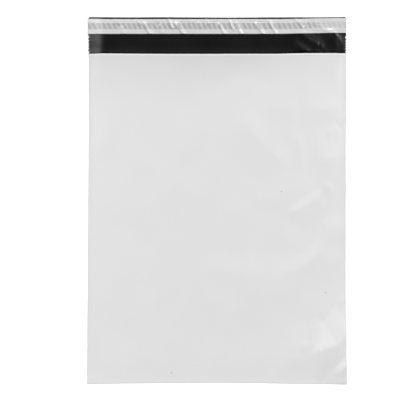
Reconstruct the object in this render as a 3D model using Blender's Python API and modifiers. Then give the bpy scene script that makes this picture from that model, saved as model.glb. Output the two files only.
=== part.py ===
"""A poly mailer bag, empty and lying on its back, in metres with +Z up.

One web of film is folded across the bottom and welded up both sides. Its back panel runs
on past the mouth as a flap, which carries a stripe of glue under a peel-off release liner.
The origin is on the floor under the middle of the bag, and +Y runs from the fold to the flap.
"""

import bpy
import numpy as np

# The bag as it lies: its cut size, less what the belly takes up
BAG_WIDTH = 0.350
PANEL_LENGTH = 0.447
FLAP_LENGTH = 0.049
FILM = 0.00006

# The side welds, where both layers are melted into one, and the crease of the bottom fold
WELD_WIDTH = 0.004
WELD_BITE = 0.00003
FOLD_LAND = 0.0008

# How far the front panel stands off the back one, in the middle and near the mouth
BELLY = 0.010
MOUTH_GAP = 0.006
BELLY_PLACE = 0.5

# The lip of the mouth, which turns up a little over its last stretch
LIP_LENGTH = 0.028
LIP_RISE = 0.0035

# How far the belly draws in the sides and the bottom edge, at their middles
SIDE_DRAW = 0.0012
FOLD_DRAW = 0.0016

# The glue stripe and the liner over it, measured across the flap
LINER_WIDTH = 0.0205
LINER = 0.00005
LINER_INSET = 0.002
GLUE_WIDTH = 0.015
GLUE = 0.00004
LAYER_CLEARANCE = 0.00003

# How far short of the bag's sides the front panel, the glue and the liner stop
END_TRIM = 0.0001

COLUMNS = 26
PANEL_ROWS = 32
LIP_ROWS = 4
FLAP_ROWS = 3

HALF_WIDTH = BAG_WIDTH / 2
HALF_LENGTH = (PANEL_LENGTH + FLAP_LENGTH) / 2
FOLD_Y = -HALF_LENGTH
MOUTH_Y = FOLD_Y + PANEL_LENGTH
FLAP_Y = HALF_LENGTH


def clear_scene():
    for item in list(bpy.data.objects):
        bpy.data.objects.remove(item)


def new_collection(name):
    made = bpy.data.collections.new(name)
    bpy.context.scene.collection.children.link(made)
    return made


def move_to(item, collection):
    for holder in list(item.users_collection):
        holder.objects.unlink(item)
    collection.objects.link(item)


def plain_material(name, colour, roughness):
    material = bpy.data.materials.new(name)
    material.use_nodes = True
    shader = material.node_tree.nodes["Principled BSDF"]
    shader.inputs["Base Color"].default_value = (*colour, 1.0)
    shader.inputs["Roughness"].default_value = roughness
    shader.inputs["Metallic"].default_value = 0.0
    return material


def side_at(y):
    """Half the bag's width at y: the sides bow in between the fold and the flap's edge."""
    along = y / HALF_LENGTH
    return HALF_WIDTH - SIDE_DRAW * (1 - along**2)


def fold_line(across):
    """The bottom edge's y, where across runs from -1 to 1: it is drawn in at its middle."""
    return FOLD_Y + FOLD_DRAW * (1 - across**2)


def belly(across, along):
    """The gap between the panels: a low arch from weld to weld, which rises from the fold
    to BELLY, comes down again towards MOUTH_GAP, and turns up by LIP_RISE at the mouth."""
    inner = 1 - WELD_WIDTH / HALF_WIDTH
    arch = max(0.0, 1 - (across / inner) ** 2)
    if along < BELLY_PLACE:
        height = BELLY * (1 - (1 - along / BELLY_PLACE) ** 2)
    else:
        past = (along - BELLY_PLACE) / (1 - BELLY_PLACE)
        height = BELLY - (BELLY - MOUTH_GAP) * past**2
    into_lip = max(0.0, 1 - (1 - along) * PANEL_LENGTH / LIP_LENGTH)
    return arch * (height + LIP_RISE * into_lip**2)


def with_weld_lines(station):
    """Moves the grid's columns so that the second from each side bounds the weld there."""
    column = 2 / COLUMNS
    weld = WELD_WIDTH / HALF_WIDTH
    stations = (-1, -1 + column, 1 - column, 1)
    return float(np.interp(station, stations, (-1, -1 + weld, 1 - weld, 1)))


def with_fold_and_lip(station):
    """Moves the grid's rows so that the second bounds the crease of the fold, and the last
    LIP_ROWS share out the lip."""
    crease = FOLD_LAND / PANEL_LENGTH
    lip = LIP_LENGTH / PANEL_LENGTH
    stations = (0, 1 / PANEL_ROWS, 1 - LIP_ROWS / PANEL_ROWS, 1)
    return float(np.interp(station, stations, (0, crease, 1 - lip, 1)))


def film_sheet(name, rows, thickness, place):
    """A grid of film laid out by place(across, along), which takes -1 to 1 and 0 to 1.
    Solidify gives it its thickness, upwards."""
    bpy.ops.mesh.primitive_grid_add(x_subdivisions=COLUMNS, y_subdivisions=rows, size=2)
    sheet = bpy.context.active_object
    sheet.name = name
    for vertex in sheet.data.vertices:
        vertex.co = place(vertex.co.x, (vertex.co.y + 1) / 2)
    solidify = sheet.modifiers.new("film thickness", "SOLIDIFY")
    solidify.thickness = thickness
    solidify.offset = 1.0
    return sheet


def back_panel(across, along):
    """The back panel and the flap in one flat length, from the fold to the flap's edge."""
    start = fold_line(across)
    y = start + along * (FLAP_Y - start)
    return across * side_at(y), y, 0.0


def front_panel(across, along):
    """The front panel, from the fold to the mouth. It bites into the back panel at the
    welds and at the fold, so that the two join, and stands clear of it between them."""
    across = with_weld_lines(across)
    along = with_fold_and_lip(along)
    start = fold_line(across) + END_TRIM
    y = start + along * (MOUTH_Y - start)
    x = across * (side_at(y) - END_TRIM)
    return x, y, FILM - WELD_BITE + belly(across, along)


def strip_on_flap(low, high, floor):
    """A flat strip across the flap between two heights in y, just short of its sides."""

    def place(across, along):
        y = low + along * (high - low)
        return across * (side_at(y) - END_TRIM), y, floor

    return place


def build_film(parts, helpers, white_film):
    """The folded and welded web: front panel, back panel and flap as one solid."""
    back = film_sheet("back_web", PANEL_ROWS + FLAP_ROWS, FILM, back_panel)
    move_to(back, helpers)
    back.hide_render = True
    back.display_type = "WIRE"

    film = film_sheet("mailer_film", PANEL_ROWS, FILM, front_panel)
    weld = film.modifiers.new("side welds and fold", "BOOLEAN")
    weld.operation = "UNION"
    weld.object = back
    film.data.materials.append(white_film)
    move_to(film, parts)


def build_closure(parts, glue_stuff, liner_stuff):
    """The glue stripe on the flap, and the release liner that covers it."""
    liner_high = FLAP_Y - LINER_INSET
    liner_low = liner_high - LINER_WIDTH
    margin = (LINER_WIDTH - GLUE_WIDTH) / 2
    glue_floor = FILM + LAYER_CLEARANCE
    liner_floor = glue_floor + GLUE + LAYER_CLEARANCE

    glue_place = strip_on_flap(liner_low + margin, liner_high - margin, glue_floor)
    glue = film_sheet("adhesive_strip", 1, GLUE, glue_place)
    glue.data.materials.append(glue_stuff)
    move_to(glue, parts)

    liner_place = strip_on_flap(liner_low, liner_high, liner_floor)
    liner = film_sheet("release_liner", 1, LINER, liner_place)
    liner.data.materials.append(liner_stuff)
    move_to(liner, parts)


clear_scene()
bag = new_collection("poly_mailer_bag")
helper_shapes = new_collection("helper_shapes")
build_film(bag, helper_shapes, plain_material("white film", (0.75, 0.75, 0.75), 0.35))
build_closure(
    bag,
    plain_material("clear glue", (0.62, 0.60, 0.52), 0.25),
    plain_material("pale liner film", (0.63, 0.63, 0.63), 0.30),
)
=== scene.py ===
"""A white poly mailer bag, black inside, lying flat with its flap open and its liner still on."""

import math

import bpy
import numpy as np
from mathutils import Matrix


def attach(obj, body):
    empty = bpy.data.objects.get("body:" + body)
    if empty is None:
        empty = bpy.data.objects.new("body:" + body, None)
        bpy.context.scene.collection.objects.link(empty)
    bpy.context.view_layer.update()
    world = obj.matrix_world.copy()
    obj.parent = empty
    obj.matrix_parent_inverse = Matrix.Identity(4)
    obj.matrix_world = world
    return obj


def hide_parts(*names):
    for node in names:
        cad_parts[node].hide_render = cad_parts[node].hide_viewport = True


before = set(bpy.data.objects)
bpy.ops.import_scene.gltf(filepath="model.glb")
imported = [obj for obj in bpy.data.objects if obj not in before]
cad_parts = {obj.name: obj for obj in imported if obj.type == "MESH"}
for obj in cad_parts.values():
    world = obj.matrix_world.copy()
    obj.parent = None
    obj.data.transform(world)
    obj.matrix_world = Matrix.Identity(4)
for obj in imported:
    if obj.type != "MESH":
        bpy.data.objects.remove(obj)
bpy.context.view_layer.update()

# The film. One web of polyethylene about 0.06 mm thick, blown in two layers, white outside and
# black inside. It is folded across the bottom, and a hot bar welds and trims both sides. The
# back panel runs on past the mouth as the flap, whose black inner face shows.
FILM = 0.00006
HALF_WIDTH = 0.175
HALF_LENGTH = 0.248
PANEL = 0.447
FOLD_CREASE = 0.0008
WELD = 0.004
SIDE_DRAW = 0.0012
FOLD_DRAW = 0.0017
MOUTH = PANEL - HALF_LENGTH
BELLY = 0.0085

# Where the welds' inner edges are, as a share of the half width
INNER_EDGE = 1 - WELD / HALF_WIDTH

# The lower half of the bag lies this far to the left, from this height and over this distance
CROOKED = 0.0010
CROOKED_FROM = 0.115
CROOKED_OVER = 0.14


def smooth(t):
    """0 below t = 0, 1 above t = 1, and 3t^2 - 2t^3 between."""
    t = np.clip(t, 0.0, 1.0)
    return t * t * (3 - 2 * t)


def varied(value, x):
    """value itself, or where it is pairs of (x in mm, number), what lies between them at x."""
    if isinstance(value, (int, float)):
        return value
    return np.interp(x * 1000.0, [place for place, _ in value], [number for _, number in value])


def crease(x, y, path, rise, left, right, sharp, fade=0.25, crest=0.0012):
    """The height of a crease whose crest runs along path, a few points in mm.

    With d the distance from the crest, on whichever side, and w the reach of that side, the
    height is rise times (1 - d/w)^sharp. It dies away over the first and last stretch of the
    path, fade of its length each, and the crest is rounded over about the distance crest.
    The rise and the two reaches are in mm, and each may vary with x.
    """
    points = np.array(path) / 1000.0
    steps = np.diff(points, axis=0)
    lengths = np.hypot(steps[:, 0], steps[:, 1])
    starts = np.concatenate([[0.0], np.cumsum(lengths)[:-1]])
    nearest = np.full(x.shape, np.inf)
    side = np.zeros(x.shape)
    along = np.zeros(x.shape)
    for point, step, length, start in zip(points, steps, lengths, starts):
        t = np.clip(((x - point[0]) * step[0] + (y - point[1]) * step[1]) / length**2, 0, 1)
        dx = x - point[0] - t * step[0]
        dy = y - point[1] - t * step[1]
        distance = np.hypot(dx, dy)
        closer = distance < nearest
        nearest = np.where(closer, distance, nearest)
        side = np.where(closer, step[0] * dy - step[1] * dx, side)
        along = np.where(closer, (start + t * length) / lengths.sum(), along)
    reach = np.where(side > 0, varied(left, x), varied(right, x)) / 1000.0
    away = np.sqrt(nearest**2 + crest**2) - crest
    flank = np.clip(1 - away / reach, 0, 1) ** sharp
    return varied(rise, x) / 1000.0 * flank * smooth(along / fade) * smooth((1 - along) / fade)


# Each crease of the front panel: its crest in mm, its rise, its reach to the left and to the
# right of the crest as it runs, how its flanks bend, and how much of its ends fades. The facet in
# the lower right corner and the streak below it are steeper towards the side, so some of their
# numbers vary with x.
CORNER_RISE = ((128, 1.2), (141, 5.3))
CORNER_REACH = ((129, 46), (141, 34))
CORNER_FALL = ((128, 32), (141, 46), (160, 46), (171, 75))
STREAK_RISE = ((152, 0.4), (164, 1.9), (173, 2.6))
PANEL_CREASES = (
    ([(70, -222), (105, -215), (127, -209), (139.3, -203), (151.5, -198.5), (162.3, -195),
      (169, -187.5), (179, -174), (198, -149)], CORNER_RISE, CORNER_REACH, CORNER_FALL, 1.0),
    ([(110, -205), (116, -199), (119, -188)], 0.50, 7, 12, 1.2, 0.4),
    ([(146, -243), (155, -239), (165, -231.7), (173.8, -223.6), (186, -211)],
     STREAK_RISE, 8.5, 26, 1.0, 0.15),
    ([(160, -140), (170, -136), (182, -124)], 0.5, 7, 20, 1.2),
    ([(84, -104), (100, -99), (112, -91.5), (120.4, -86), (128.5, -79.3), (134, -73.8),
      (139.3, -67), (143, -59), (145, -51), (147, -28), (148, -8)], 1.15, 15, 36, 1.3, 0.4),
    ([(-60, -95), (0, -97), (75, -98), (128, -93)], 0.7, 22, 75, 1.0),
    ([(92, -24), (100, -19), (112, -11.5), (126, -2.5), (146, 12)], 0.95, 10, 26, 1.2, 0.3),
    ([(139, 14), (148, 18), (157, 22.5)], 0.55, 10, 16, 1.2, 0.45),
    ([(20, 122), (61, 76), (103, 40)], 0.9, 20, 45, 1.2),
    ([(120, 54), (160, 57), (196, 66)], 1.6, 44, 70, 1.0, 0.35),
    ([(160, 105), (168, 110), (178, 117)], 0.35, 5, 14, 1.3),
    ([(146, 90), (154, 93), (165, 101)], 0.35, 7, 14, 1.3),
    ([(105, 95), (119, 32)], 0.3, 12, 14, 1.3),
    ([(92, 151), (125, 154), (160, 154)], 0.12, 19, 34, 1.2),
    ([(110, 122), (140, 123), (176, 126)], 0.40, 15, 26, 1.2),
    ([(62, 127), (86, 126), (112, 124)], 0.45, 34, 24, 1.2),
    ([(40, 0), (70, 1), (96, -1)], 0.40, 40, 17, 1.2),
    ([(136, -35), (160, -38), (198, -40)], 0.90, 90, 24, 1.0, 0.3),
)

# The same for the flap, whose right end buckled when the bag lay folded in its pack. The rises
# of its outermost and its lowest buckle vary with x.
BLOB_RISE = ((102, 0.05), (110, 0.90))
RIM_RISE = ((150, 0.40), (160, 0.92), (169, 0.50))
FLAP_CREASES = (
    ([(152, 236), (158.5, 226), (164, 220.5), (168.2, 215.5), (170.6, 209), (171.8, 190)],
     RIM_RISE, 8.5, 60, 2.0),
    ([(152, 223), (158.5, 216), (165, 206)], 0.16, 4, 6, 1.3),
    ([(98, 246), (112, 229), (119, 221), (129, 213.5), (141, 206.5), (147, 203)],
     1.02, 13, 40, 1.2),
    ([(130, 217), (134, 214.5), (139, 213.5)], 0.12, 4, 5, 1.3),
    ([(139.5, 212), (142.5, 209), (143.5, 204)], 0.21, 3.8, 4, 1.3),
    ([(84, 228), (106, 211), (114, 205.5), (122, 202), (131, 200)], BLOB_RISE, 8, 9, 1.2),
)

# The curl of the flap's left end: its steepest slope, the width of the bend up to that slope, the
# line where the bend ends, and how far below the mouth the curl dies away
CURL_SLOPE = 0.225
CURL_BEND = 0.017
CURL_LINE = -0.1619
CURL_FADE = 0.085

# How far the film draws in from the side, back from the flap's edge and back from the mouth, for
# each millimetre that the curl lifts it
SIDE_PULL = 0.10
FLAP_PULL = 0.16
MOUTH_PULL = 0.12

# How far the left and the right side stray from their smooth lines, in mm to the right, at
# places up the bag
SIDE_WANDER = (
    (-242, 0.0, 0.05), (-210, -0.25, -0.80), (-161, -0.30, -0.45), (-113, -0.20, 0.20),
    (-48, -0.10, 0.40), (17, -0.20, 0.40), (66, -0.35, -0.25), (114, -0.35, 0.12),
    (163, 0.0, 0.25), (193, 0.40, 0.0), (200, -0.15, 0.0), (206, 0.0, 0.0),
)


def soft_waves(x, y):
    """Broad shallow waves between -1 and 1: the mean of five sines in different directions."""
    total = 0.0
    for turn, length, phase in ((0.3, 0.083, 0.4), (1.1, 0.061, 2.0), (2.0, 0.097, 4.1),
                                (2.7, 0.052, 5.2), (1.6, 0.119, 1.1)):
        total = total + np.sin(
            (x * math.cos(turn) + y * math.sin(turn)) * 2 * math.pi / length + phase
        )
    return total / 5


def side_at(y):
    """Half the bag's width at y, which the belly draws in between the two ends."""
    return HALF_WIDTH - SIDE_DRAW * (1 - (y / HALF_LENGTH) ** 2)


def near_weld(across):
    """1 at the side welds, and 0 from 22 mm inside them."""
    return smooth((np.abs(across) * HALF_WIDTH - (HALF_WIDTH - WELD - 0.022)) / 0.022)


def carried(across, x, y):
    """How much of the panel's creases the back web takes up: all of them at the side welds, and
    also near the fold's right corner, which lies a millimetre or two off the floor."""
    near_corner = smooth((x - 0.128) / 0.030) * smooth((-0.205 - y) / 0.030)
    return np.maximum(near_weld(across), near_corner)


def creases_at(x, y, creases):
    """The heights of all those creases, added up."""
    total = np.zeros(x.shape)
    for shape in creases:
        total += crease(x, y, *shape)
    return total


def left_curl(x, y):
    """The flap's left end curls up, and takes the corner of the mouth with it.

    Its slope grows smoothly from 0 to CURL_SLOPE over CURL_BEND, up to a line 13 mm from the
    side, and stays there. Near the mouth the line bends out by 1.2 mm, and towards the flap's
    outer corner the curl grows by a quarter. Below the mouth it dies away with the lip, as the
    square of what is left of CURL_FADE.
    """
    below = np.clip((0.2165 - y) / 0.0165, 0, 1)
    line = CURL_LINE - 0.0012 * below**2
    turn = np.clip((line + CURL_BEND - x) / CURL_BEND, 0, 1)
    past = np.clip(line - x, 0, None)
    rise = CURL_SLOPE * (CURL_BEND * (turn**3 - turn**4 / 2) + past)
    to_corner = 1 + 0.25 * smooth((y - 0.222) / 0.026)
    into_lip = np.clip(1 - (MOUTH - y) / CURL_FADE, 0, 1)
    return rise * to_corner * into_lip**2


def back_height(across, x, y):
    """How far the back web's underside lies off the floor.

    It lies on the floor, apart from the buckles that the welds carry up with them, the curled
    left end of the flap, low ridges along the fold and the mouth, and the flap's own creases.
    Its right end is crumpled as well, in shallow wrinkles a few mm apart.
    """
    lifted = carried(across, x, y) * creases_at(x, y, PANEL_CREASES) * (y < MOUTH)
    on_flap = smooth((y - MOUTH + 0.002) / 0.006)
    buckles = creases_at(x, y, FLAP_CREASES)
    wrinkles = 0.00006 * (1 + soft_waves(x * 11 + y * 4, y * 7)) * smooth((x - 0.095) / 0.03)
    ripple = 0.00012 * (1 + soft_waves(x * 1.6, y * 1.6))
    ridge = 0.00035 * np.exp(-(((y - MOUTH) / 0.005) ** 2))
    at_fold = 0.00022 + 0.00045 * smooth((x - 0.125) / 0.030)
    ridge = ridge + at_fold * np.exp(-(((y + HALF_LENGTH) / 0.006) ** 2))
    return lifted + left_curl(x, y) + on_flap * (buckles + wrinkles) + ripple + ridge


def belly_gap(across, x, y):
    """The gap between the panels.

    It is a low arch from weld to weld: 1 less the square of the place across. Along the bag it
    rises from the fold to BELLY, ever more gently, and turns up in the lip at the mouth: by
    about 5 mm over 85 mm at the left, 6 mm over 66 mm in the middle and 3 mm over 56 mm at the
    right, with a steeper stretch just right of the middle. On the right the lip's edge rolls
    over. Soft waves and the creases are added on top.
    """
    arch = np.clip(1 - (across / INNER_EDGE) ** 2, 0, None)
    along = np.clip((y + HALF_LENGTH - FOLD_CREASE) / PANEL, 0, 1)
    height = BELLY * (1 - (1 - along) ** 1.4)
    to_left = 1 - smooth((x + 0.14) / 0.12)
    to_right = smooth((x - 0.02) / 0.11)
    past_middle = smooth((x + 0.030) / 0.070)
    reach = 0.066 + 0.019 * to_left - 0.032 * past_middle + 0.022 * to_right
    into_lip = np.clip(1 - (MOUTH - y) / reach, 0, 1)
    from_weld = INNER_EDGE - np.abs(across)
    lip_arch = smooth(from_weld / np.where(across < 0, 0.02, 0.07))
    peak = 0.0050 + 0.0012 * smooth((x + 0.175) / 0.020)
    peak = peak - 0.0009 * to_left - 0.0023 * past_middle - 0.0010 * to_right
    lip = peak * into_lip ** (2.0 - 0.4 * to_right) - left_curl(x, y)
    lip = np.clip(lip, 0, None) * lip_arch
    rolled = 0.0003 * to_right * np.clip(1 - (MOUTH - y) / 0.0090, 0, 1) ** 1.5 * lip_arch
    open_fade = smooth(from_weld / 0.12) * smooth(along / 0.08)
    waves = 0.00030 * (1 + soft_waves(x, y)) * open_fade
    creases = creases_at(x, y, PANEL_CREASES) * (1 - carried(across, x, y))
    inside = np.where((from_weld > 1e-6) & (along > 0), 1.0, 0.0)
    return inside * (arch * height + lip - rolled + waves + creases * smooth(along / 0.02))


def stations(*stretches):
    """Joins stretches of even spacing, each (start, end, count), into one row of stations."""
    parts = [np.linspace(start, end, count, endpoint=False) for start, end, count in stretches]
    return np.concatenate(parts + [[stretches[-1][1]]])


def triangles(ids, up=True):
    """The faces of a grid of vertex numbers, which face up, or down if up is False. Every cell
    is cut along the same diagonal, so that two layers of film never cross between vertices."""
    start, right, far, left = ids[:-1, :-1], ids[:-1, 1:], ids[1:, 1:], ids[1:, :-1]
    halves = [start, right, far], [start, far, left]
    return np.concatenate(
        [np.stack(half if up else half[::-1], axis=-1).reshape(-1, 3) for half in halves]
    )


def add_piece(name, points, surfaces, edges):
    """An object at the origin with that mesh and no points left over. Its surfaces are shaded
    smooth, and its thin cut edges flat, so that they don't tint the film beside them."""
    faces = np.concatenate(surfaces + edges)
    edge_count = sum(len(part) for part in edges)
    mesh = bpy.data.meshes.new(name)
    used, renumbered = np.unique(faces, return_inverse=True)
    mesh.from_pydata(points[used].tolist(), [], renumbered.reshape(faces.shape).tolist())
    smooth_faces = np.arange(len(faces)) < len(faces) - edge_count
    mesh.polygons.foreach_set("use_smooth", smooth_faces)
    piece = bpy.data.objects.new(name, mesh)
    bpy.context.scene.collection.objects.link(piece)
    return piece


across = stations(
    (-1, -INNER_EDGE, 3),
    (-INNER_EDGE, -0.87, 10),
    (-0.87, 0.25, 29),
    (0.25, INNER_EDGE, 80),
    (INNER_EDGE, 1, 3),
)
along = stations(
    (-HALF_LENGTH, -HALF_LENGTH + FOLD_CREASE, 1),
    (-HALF_LENGTH + FOLD_CREASE, -0.130, 56),
    (-0.130, 0.040, 60),
    (0.040, 0.150, 32),
    (0.150, MOUTH, 22),
    (MOUTH, HALF_LENGTH, 44),
)

# The welds' inner edges are three columns in, and the fold's crease is one row deep
weld_column = 3
fold_row = 1
mouth_row = int(np.argmin(np.abs(along - MOUTH)))
columns, rows = len(across), len(along)
u, v = np.meshgrid(across, along)

# The sides. The lower half lies to the left, because the bag was laid down a little crooked, and
# the left end draws in where it curls up.
lift = left_curl(u * side_at(v), v)
x = u * side_at(v) - CROOKED * smooth((CROOKED_FROM - v) / CROOKED_OVER) + SIDE_PULL * lift
places, left_moves, right_moves = np.array(SIDE_WANDER).T / 1000.0
x = x + np.clip(u, 0, 1) * np.interp(v, places, right_moves)
x = x + np.clip(-u, 0, 1) * np.interp(v, places, left_moves)

# The ends. The fold and the mouth's edge draw back in the middle, because the belly takes up
# film there, and the fold's right corner draws back as it stands off the floor. The flap's edge,
# which a blade cut, wanders by a fraction of a millimetre.
to_fold = np.clip((MOUTH - v) / PANEL, 0, 1)
to_flap = np.clip((v - MOUTH) / (HALF_LENGTH - MOUTH), 0, 1)
bow = 1 - u**2
y = v + FOLD_DRAW * np.where(u > 0, bow**4, bow**1.5) * to_fold**4
y = y + 0.0004 * smooth((u - 0.80) / 0.15) * to_fold**12
flap_wander = 0.00030 * bow - 0.00075 + 0.00022 * np.sin(u * 9.5 + 0.6) * (1 - 0.4 * bow)
flap_wander -= 0.00045 * np.exp(-(((u + 0.48) / 0.16) ** 2)) + 0.00025 * smooth((u - 0.45) / 0.2)
y_back = y - (flap_wander + FLAP_PULL * lift) * to_flap
mouth_bow = 0.0003 + (0.0024 - 0.0005 * smooth((u + 0.17) / 0.40)) * bow
mouth_bow = mouth_bow - 0.0008 * smooth((u - 0.40) / 0.30) + MOUTH_PULL * lift
mouth_bow = mouth_bow * (1 - to_fold) ** 6
y_front = y - mouth_bow

# In the welds the back web draws back with the front one, since the two are melted together
in_weld = np.abs(u) > INNER_EDGE - 1e-6
past_mouth = smooth((v - MOUTH) / 0.006)
y_back = y_back - mouth_bow * in_weld * (1 - past_mouth)

# The flap's two ends tore a little as the hot bar cut them, so they are notched
notch = 0.5 + 0.5 * np.sin(v * 1390 + 1.0 + 2.5 * np.sin(v * 210))
ragged = 0.00065 - 0.0016 * notch**2 + 0.0002 * np.sin(v * 2310) - 0.0002 * u
x_back = x + np.sign(u) * ragged * smooth(to_flap / 0.05) * (np.abs(u) > 0.999)

# The layers. Melting left a bead 0.1 mm high along each weld, 0.7 mm in from the side.
under = back_height(u, x, y)
gap = belly_gap(u, x, y)
bead = 0.00010 * np.exp(-(((1 - np.abs(u)) * HALF_WIDTH - 0.0007) / 0.0009) ** 2)
outer_back = np.stack([x_back, y_back, under], axis=-1)
inner_back = np.stack([x_back, y_back, under + FILM], axis=-1)
outer_front = np.stack([x, y_front, under + 2 * FILM + gap + bead], axis=-1)
inner_front = np.stack([x, y_front, under + FILM + gap + bead], axis=-1)
rim = np.stack([x, y_front, under + FILM], axis=-1)
rim[:, 0, 0] -= FILM / 2
rim[:, -1, 0] += FILM / 2
rim[0, :, 1] -= FILM / 2

size = rows * columns
back_ids = np.arange(size).reshape(rows, columns)
floor_ids = back_ids + size
front_ids = back_ids + 2 * size
ceiling_ids = back_ids + 3 * size
rim_ids = back_ids + 4 * size
film_points = np.concatenate(
    [part.reshape(-1, 3) for part in (outer_back, inner_back, outer_front, inner_front, rim)]
)

# The inner faces meet along the welds' inner edges and the fold, and the rim's upper ends meet
# the flap where the welds stop. In the fold's right corner both layers then have a triangle on
# the same three points, of which the export keeps one.
low, high = weld_column, columns - 1 - weld_column
ceiling_ids[: mouth_row + 1, low] = floor_ids[: mouth_row + 1, low]
ceiling_ids[: mouth_row + 1, high] = floor_ids[: mouth_row + 1, high]
ceiling_ids[fold_row, low : high + 1] = floor_ids[fold_row, low : high + 1]
rim_ids[mouth_row, 0] = floor_ids[mouth_row, 0]
rim_ids[mouth_row, -1] = floor_ids[mouth_row, -1]
mouth_under = floor_ids[mouth_row].copy()
mouth_under[low : high + 1] = ceiling_ids[mouth_row, low : high + 1]

panel = slice(0, mouth_row + 1)
flap = slice(mouth_row, rows)
pocket = slice(low, high + 1)
outside = [triangles(back_ids, up=False), triangles(front_ids[panel])]
inside = [
    triangles(floor_ids[fold_row : mouth_row + 1, pocket]),
    triangles(floor_ids[flap]),
    triangles(ceiling_ids[fold_row : mouth_row + 1, pocket], up=False),
]
edges = [
    triangles(np.stack([back_ids[0], rim_ids[0]])),
    triangles(np.stack([rim_ids[0], front_ids[0]])),
    triangles(np.stack([floor_ids[-1], back_ids[-1]])),
    triangles(np.stack([front_ids[mouth_row], mouth_under])),
]
# The narrow faces along the two sides are wound inward, unlike all the others of the film
for column, up in ((0, True), (-1, False)):
    back_edge, front_edge, rim_edge = back_ids[:, column], front_ids[:, column], rim_ids[:, column]
    edges.append(triangles(np.stack([back_edge[panel], rim_edge[panel]], 1), not up))
    edges.append(triangles(np.stack([rim_edge[panel], front_edge[panel]], 1), not up))
    edges.append(triangles(np.stack([back_edge[flap], floor_ids[flap, column]], 1), not up))
film = add_piece("mailer_web", film_points, outside + inside, edges)
inner_face = film.data.attributes.new("inner_face", "FLOAT", "FACE")
is_inner = np.zeros(len(film.data.polygons), dtype="float32")
outside_count = sum(len(part) for part in outside)
inside_count = sum(len(part) for part in inside)
is_inner[outside_count : outside_count + inside_count] = 1
inner_face.data.foreach_set("value", is_inner)


class Shade:
    """One output of a material's node. + - * / on it add Math nodes."""

    def __init__(self, tree, socket=None):
        self.tree = tree
        self.socket = socket

    def node(self, kind, settings=None, inputs=None, output=0):
        """Adds a node of that kind, sets its settings first, and then fills its inputs, by name
        or by number, from numbers, colours or Shades. Gives back the output asked for."""
        made = self.tree.nodes.new("ShaderNode" + kind)
        for name, value in (settings or {}).items():
            setattr(made, name, value)
        for name, value in (inputs or {}).items():
            if isinstance(value, Shade):
                self.tree.links.new(value.socket, made.inputs[name])
            elif isinstance(value, tuple) and len(value) == 3 and made.inputs[name].type == "RGBA":
                made.inputs[name].default_value = (*value, 1.0)
            else:
                made.inputs[name].default_value = value
        return Shade(self.tree, made.outputs[output])

    def of(self, socket):
        """A Shade for another socket of the same material."""
        return Shade(self.tree, socket)

    def sibling(self, name):
        """Another output of the same node."""
        return self.of(self.socket.node.outputs[name])

    def maths(self, operation, *values):
        """A Math node's result, for this and those values."""
        settings = {"operation": operation}
        return self.node("Math", settings, dict(enumerate([self, *values])))

    def __add__(self, other):
        return self.maths("ADD", other)

    def __sub__(self, other):
        return self.maths("SUBTRACT", other)

    def __mul__(self, other):
        return self.maths("MULTIPLY", other)

    def __truediv__(self, other):
        return self.maths("DIVIDE", other)

    def __radd__(self, other):
        return self + other

    def __rmul__(self, other):
        return self * other

    def __rsub__(self, other):
        return self * -1.0 + other

    def step(self, start, end):
        """0 up to start, 1 from end, and smooth between."""
        settings = {"interpolation_type": "SMOOTHSTEP"}
        return self.node("MapRange", settings, {0: self, 1: start, 2: end, 3: 0.0, 4: 1.0})

    def blend(self, low, high):
        """The colour low where this is 0, high where it is 1."""
        settings = {"data_type": "RGBA"}
        return self.node("Mix", settings, {0: self, 6: low, 7: high}, output=2)


def new_finish(name, **uniform):
    """A material with its Principled shader, whose uniform values are set on its own sockets.
    Gives back the material, its shader and a Shade to start from."""
    material = bpy.data.materials.new(name)
    material.use_nodes = True
    shader = material.node_tree.nodes["Principled BSDF"]
    for socket, value in uniform.items():
        shader.inputs[socket.replace("_", " ")].default_value = value
    return material, shader, Shade(material.node_tree)


def feed(shader, start, **inputs):
    """Links each Shade to the shader's socket of that name."""
    for socket, value in inputs.items():
        start.tree.links.new(value.socket, shader.inputs[socket.replace("_", " ")])


# The white layer carries chalky pigment over the black one, so it is a very even pale grey with
# a satin face. Faint die lines from the blowing run across the bag, and the roll left a few
# specks.
web, web_shader, start = new_finish("two-layer film", IOR=1.51)
place = start.node("TexCoord", output="Object")
px = start.node("SeparateXYZ", {}, {0: place})
py = px.sibling("Y")
inner = start.node("Attribute", {"attribute_name": "inner_face"}, output="Fac")

stretched = start.node("Mapping", {}, {0: place, 3: (7.0, 900.0, 7.0)})
line_settings = {0: stretched, "Scale": 1.0, "Detail": 3.0, "Roughness": 0.6}
die_lines = start.node("TexNoise", {}, line_settings)
cloud = start.node("TexNoise", {}, {0: place, "Scale": 26.0, "Detail": 3.0, "Roughness": 0.55})
pebble = start.node("TexNoise", {}, {0: place, "Scale": 900.0, "Detail": 2.0, "Roughness": 0.5})


def speck(x_mm, y_mm, radius_mm):
    """1 within a speck at that place, and 0 outside it."""
    gap_x = px - x_mm / 1000
    gap_y = py - y_mm / 1000
    distance = (gap_x * gap_x + gap_y * gap_y).maths("SQRT")
    return 1 - distance.step(radius_mm * 0.0005, radius_mm * 0.0012)


dirt = speck(86.6, 11.7, 0.7) + speck(146.1, -124.9, 0.75) + speck(-62.2, -233.1, 0.8)
gels = speck(51.4, -103.3, 1.0) + speck(-8.1, -42.4, 0.8) + speck(-159.6, 27.9, 0.9)

white = cloud.blend((0.755, 0.755, 0.755), (0.785, 0.785, 0.785))
white = (gels * 0.6).blend(white, (0.84, 0.84, 0.84))

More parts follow.
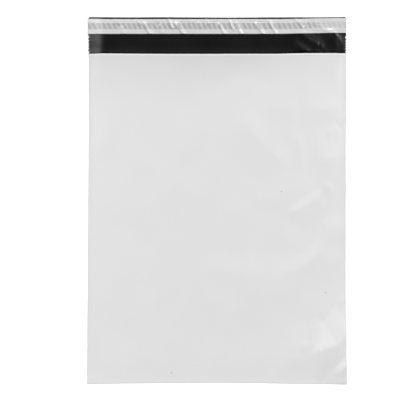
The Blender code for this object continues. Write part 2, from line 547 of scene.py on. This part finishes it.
# Painted shade: a fine darker line along each weld's inner edge, for the shade of the hot bar's
# bead
along_bag = py / HALF_LENGTH
half_bag = HALF_WIDTH - SIDE_DRAW + along_bag * along_bag * SIDE_DRAW
shifted = px + (CROOKED_FROM - py).step(0.0, CROOKED_OVER) * CROOKED
from_side = half_bag - shifted.maths("ABSOLUTE")
line_start = from_side.step(WELD - 0.0004, WELD + 0.0002)
line_end = from_side.step(WELD + 0.0006, WELD + 0.0012)
weld_bead_shade = line_start * (1 - line_end)
# The white is darkened there, as painted shade of the weld's bead
white = (weld_bead_shade * 0.15).blend(white, (0.66, 0.66, 0.66))
white = (dirt * 0.85).blend(white, (0.20, 0.19, 0.18))
black = cloud.blend((0.0006, 0.0006, 0.0006), (0.0014, 0.0014, 0.0014))
feed(web_shader, start, Base_Color=inner.blend(white, black))
feed(web_shader, start, Roughness=0.40 + cloud * 0.06 - inner * 0.19)
relief = die_lines * 0.5 + pebble * 0.5
bump = start.node("Bump", {}, {"Strength": 1.0, "Distance": 0.000012, "Height": relief})
feed(web_shader, start, Normal=bump)
film.data.materials.append(web)

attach(film, "root")
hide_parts("mailer_film")

# The glue. A stripe of clear hot-melt about 15 mm wide, rolled onto the flap while hot. The
# liner hides it, apart from its two ends.
GLUE = 0.00004
LAYER_GAP = 0.00003
LINER_LOW = 0.2259
LINER_HIGH = 0.2460
LINER_MIDDLE = 0.236
GLUE_INSET = 0.00275

# The liner's right end lies this far up the flap, from this place across and over this distance
LINER_ASKEW = 0.0014
ASKEW_FROM = 0.075
ASKEW_OVER = 0.095


def flap_height(x, y):
    """The height of the flap's black face by the film's own formula. The film's points are drawn
    back a little from where their heights are worked out, so it is right to about 0.2 mm."""
    return back_height(x / side_at(y), x, y) + FILM


def strip(name, across, along, floor, thickness, shift):
    """A closed strip of that thickness over the grid across by along, whose underside is at
    floor(x, y), with shift(x) added to y. The faces of its two ends are wound inward."""
    x, y = np.meshgrid(across, along)
    y = y + shift(x)
    height = floor(x, y)
    ids = np.arange(x.size).reshape(x.shape)
    over = ids + x.size
    points = np.concatenate(
        [
            np.stack([x, y, height], axis=-1).reshape(-1, 3),
            np.stack([x, y, height + thickness], axis=-1).reshape(-1, 3),
        ]
    )
    edges = [
        triangles(np.stack([ids[0], over[0]])),
        triangles(np.stack([over[-1], ids[-1]])),
        triangles(np.stack([ids[:, 0], over[:, 0]], 1), False),
        triangles(np.stack([over[:, -1], ids[:, -1]], 1), False),
    ]
    return add_piece(name, points, [triangles(ids, up=False), triangles(over)], edges)


def liner_shift(x):
    """The liner was laid a little askew: its right end is 1.4 mm nearer the flap's edge. Its
    left end draws back, as the flap's does where it curls up."""
    askew = LINER_ASKEW * smooth((x - ASKEW_FROM) / ASKEW_OVER)
    return askew - FLAP_PULL * left_curl(x, LINER_MIDDLE)


def glue_floor(x, y):
    """The glue's underside, LAYER_GAP above that height. In places the flap stands up to 0.15 mm
    above it, which the liner hides."""
    return flap_height(x, y) + LAYER_GAP


glue = strip(
    "glue_stripe",
    stations((-0.1745, 0.1745, 240)),
    stations((LINER_LOW + GLUE_INSET, LINER_HIGH - GLUE_INSET, 10)),
    glue_floor,
    GLUE,
    liner_shift,
)
clear, clear_shader, start = new_finish("hot-melt glue", IOR=1.48)
place = start.node("TexCoord", output="Object")
ripple = start.node("TexNoise", {}, {0: place, "Scale": 260.0, "Detail": 3.0})
feed(clear_shader, start, Base_Color=ripple.blend((0.55, 0.53, 0.45), (0.66, 0.64, 0.56)))
feed(clear_shader, start, Roughness=0.15 + ripple * 0.15)
bump = start.node("Bump", {}, {"Strength": 1.0, "Distance": 0.00003, "Height": ripple})
feed(clear_shader, start, Normal=bump)
glue.data.materials.append(clear)

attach(glue, "root")
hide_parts("adhesive_strip")

# The release liner. A 20 mm ribbon of pale silvery film, coated so that the glue lets go of it.
# It is laid over the glue as the bag is made, and wrinkles there in short slanted creases. A band
# of plain slanted grey bars is printed along it.
LINER = 0.00005
PRINT_MIDDLE = 0.2365
BAR_PITCH = 0.0068
BAR_LEAN = 0.45

# Each of its creases: its crest in mm, its rise, and its reach to the left and to the right
LINER_CREASES = (
    ([(-142, 252), (-138, 244), (-132, 236)], 0.80, 6.0, 3.5),
    ([(-133, 238), (-128, 229), (-122, 218)], 0.90, 5.5, 3.5),
    ([(-112, 252), (-109, 244), (-104, 236)], 0.75, 5.0, 3.5),
    ([(-101, 244), (-99, 237), (-88, 220)], 1.40, 5.6, 2.4),
    ([(-86, 252), (-81, 240)], 0.60, 4.8, 3.5),
    ([(-81, 240), (-73, 224)], 0.70, 4.8, 3.5),
    ([(-71, 254), (-66, 243), (-59, 229)], 1.30, 5.4, 2.6),
    ([(-59, 244), (-54, 236), (-41, 218)], 1.55, 5.8, 2.5),
    ([(-41, 252), (-35, 239)], 0.65, 4.8, 3.5),
    ([(-28, 244), (-22, 232)], 0.50, 4.8, 3.5),
    ([(-17, 252), (-12, 236)], 0.75, 4.8, 3.2),
    ([(-1, 243), (2.5, 237), (14, 218)], 1.20, 4.4, 2.2),
    ([(13, 253), (16, 244), (23, 228)], 1.10, 3.6, 2.0),
    ([(23, 245), (27, 238), (35, 218)], 1.10, 4.0, 2.2),
    ([(50, 244), (54, 237), (66, 219)], 1.30, 4.6, 2.4),
    ([(65, 250), (71, 241), (83, 219)], 1.20, 4.3, 2.3),
    ([(101, 252), (105, 246), (119, 232)], 1.00, 4.8, 3.0),
    ([(132, 243), (139, 236), (161, 223)], 0.58, 5.4, 4.4),
    ([(120, 233), (150, 231), (172, 233)], 0.35, 3.0, 3.0),
)


def liner_floor(x, y):
    """The liner's underside: clear of the glue, with its own creases and a fine cockle."""
    creases = np.zeros(x.shape)
    for path, rise, left, right in LINER_CREASES:
        creases += crease(x, y, path, rise, left, right, sharp=1.4, crest=0.0006)
    cockle = 0.00010 * (1 + soft_waves(x * 6, y * 3))
    return flap_height(x, y) + GLUE + 2 * LAYER_GAP + creases + cockle


liner = strip(
    "liner_ribbon",
    stations((-0.1753, -0.1600, 16), (-0.1600, 0.1749, 520)),
    stations((LINER_LOW, LINER_HIGH, 30)),
    liner_floor,
    LINER,
    liner_shift,
)
ribbon, ribbon_shader, start = new_finish("release film", IOR=1.5)
place = start.node("TexCoord", output="Object")
px = start.node("SeparateXYZ", {}, {0: place})
py = px.sibling("Y")
fleck = start.node("TexNoise", {}, {0: place, "Scale": 420.0, "Detail": 4.0, "Roughness": 0.65})
haze = start.node("TexNoise", {}, {0: place, "Scale": 60.0, "Detail": 2.0})

# The bars lean to the left, 6.8 mm apart, over a pale tint in a band 8.4 mm high that follows
# the liner up at its right end and back at its left end
askew = LINER_ASKEW * (px - ASKEW_FROM).step(0.0, ASKEW_OVER)
askew = askew - 0.0008 * (px * -1.0).step(0.155, 0.175)
up_band = py - PRINT_MIDDLE - askew
in_bar = ((px + up_band * BAR_LEAN) / BAR_PITCH).maths("FRACT")
bar = in_bar.step(0.00, 0.20) * (1 - in_bar.step(0.64, 0.84))
within = 1 - up_band.maths("ABSOLUTE").step(0.0038, 0.0046)
worn = (1 - 0.35 * fleck.step(0.52, 0.68)) * (1 - 0.6 * px.step(0.125, 0.150))
pale = haze.blend((0.66, 0.66, 0.66), (0.74, 0.74, 0.74))
printed = (within * worn).blend(pale, (0.60, 0.60, 0.60))
printed = (bar * within * worn * 0.72).blend(printed, (0.38, 0.38, 0.38))
feed(ribbon_shader, start, Base_Color=printed)
feed(ribbon_shader, start, Roughness=0.20 + haze * 0.10)
bump = start.node("Bump", {}, {"Strength": 1.0, "Distance": 0.00001, "Height": fleck})
feed(ribbon_shader, start, Normal=bump)
liner.data.materials.append(ribbon)

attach(liner, "root")
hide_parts("release_liner")

# The floor. A wide white board that the bag lies on. The camera and reflections see it as plain
# white, with the bag's own shadow kept.
BOARD_REACH = 9.0
BOARD_LEVEL = -0.0002
mesh = bpy.data.meshes.new("white_board")
corners = [
    (way_x * BOARD_REACH, way_y * BOARD_REACH, BOARD_LEVEL)
    for way_x, way_y in ((-1, -1), (1, -1), (1, 1), (-1, 1))
]
mesh.from_pydata(corners, [], [(0, 1, 2, 3)])
board = bpy.data.objects.new("white_board", mesh)
bpy.context.scene.collection.objects.link(board)
board_paint, board_shader, start = new_finish("white board", Roughness=0.9)
board_shader.inputs["Base Color"].default_value = (0.80, 0.80, 0.80, 1.0)
camera_ray = start.node("LightPath")
seen = camera_ray
for kind in ("Is Glossy Ray", "Is Transmission Ray"):
    seen = seen.maths("MAXIMUM", camera_ray.sibling(kind))
glow = start.node("Emission", {}, {"Color": (1.0, 1.0, 1.0), "Strength": 0.38})
painted = start.of(board_shader.outputs[0])
glowing = start.node("AddShader", {}, {0: painted, 1: glow})
surface = start.node("MixShader", {}, {0: seen, 1: painted, 2: glowing})
board_end = board_paint.node_tree.nodes["Material Output"]
start.tree.links.new(surface.socket, board_end.inputs["Surface"])
board.data.materials.append(board_paint)

# The light. A room with white walls and a dim ceiling, and large softboxes far off: one beyond
# the flap, and one high on each side.
scene = bpy.context.scene
scene.view_settings.view_transform = "Standard"
room = bpy.data.worlds.new("white_walled_room")
room.use_nodes = True
scene.world = room
start = Shade(room.node_tree)
direction = start.node("TexCoord", output="Generated")
height = start.node("SeparateXYZ", {}, {0: direction}, output="Z")
walls = height.step(0.12, 0.40).blend((1.0, 1.0, 1.0), (0.05, 0.05, 0.05))
start.tree.links.new(walls.socket, room.node_tree.nodes["Background"].inputs["Color"])


def soft_light(name, bearing, elevation, share):
    """A large softbox so far off that it lights the whole bag alike, in that direction from
    the bag, in degrees. It looks 20 degrees across.

    share is what it adds to the light on a level surface, where 1 in all shows a colour as
    written: strength = share * pi / sin(elevation).
    """
    bearing, elevation = math.radians(bearing), math.radians(elevation)
    lamp = bpy.data.lights.new(name, "SUN")
    lamp.angle = math.radians(20)
    lamp.energy = share * math.pi / math.sin(elevation)
    holder = bpy.data.objects.new(name, lamp)
    bpy.context.scene.collection.objects.link(holder)
    holder.rotation_euler = (math.pi / 2 - elevation, 0, bearing + math.pi / 2)


soft_light("right_light", 28, 55, 0.26)
soft_light("left_light", 152, 55, 0.27)
soft_light("flap_light", 90, 50, 0.34)

# The camera. It hangs 1.5 m from the point of the floor in the middle of its view, and is turned
# slightly towards the flap.
CAMERA_FAR = 1.5
CAMERA_LEAN = math.radians(1.2)
AIM_X = -0.0236
AIM_Y = 0.0002
camera = bpy.data.cameras.new("overhead_camera")
camera.lens = 99.64
camera.sensor_width = 36
camera.clip_end = 50
overhead = bpy.data.objects.new("overhead_camera", camera)
scene.collection.objects.link(overhead)
overhead.location = (
    AIM_X,
    AIM_Y - CAMERA_FAR * math.sin(CAMERA_LEAN),
    CAMERA_FAR * math.cos(CAMERA_LEAN),
)
overhead.rotation_euler = (CAMERA_LEAN, 0, 0)
scene.camera = overhead
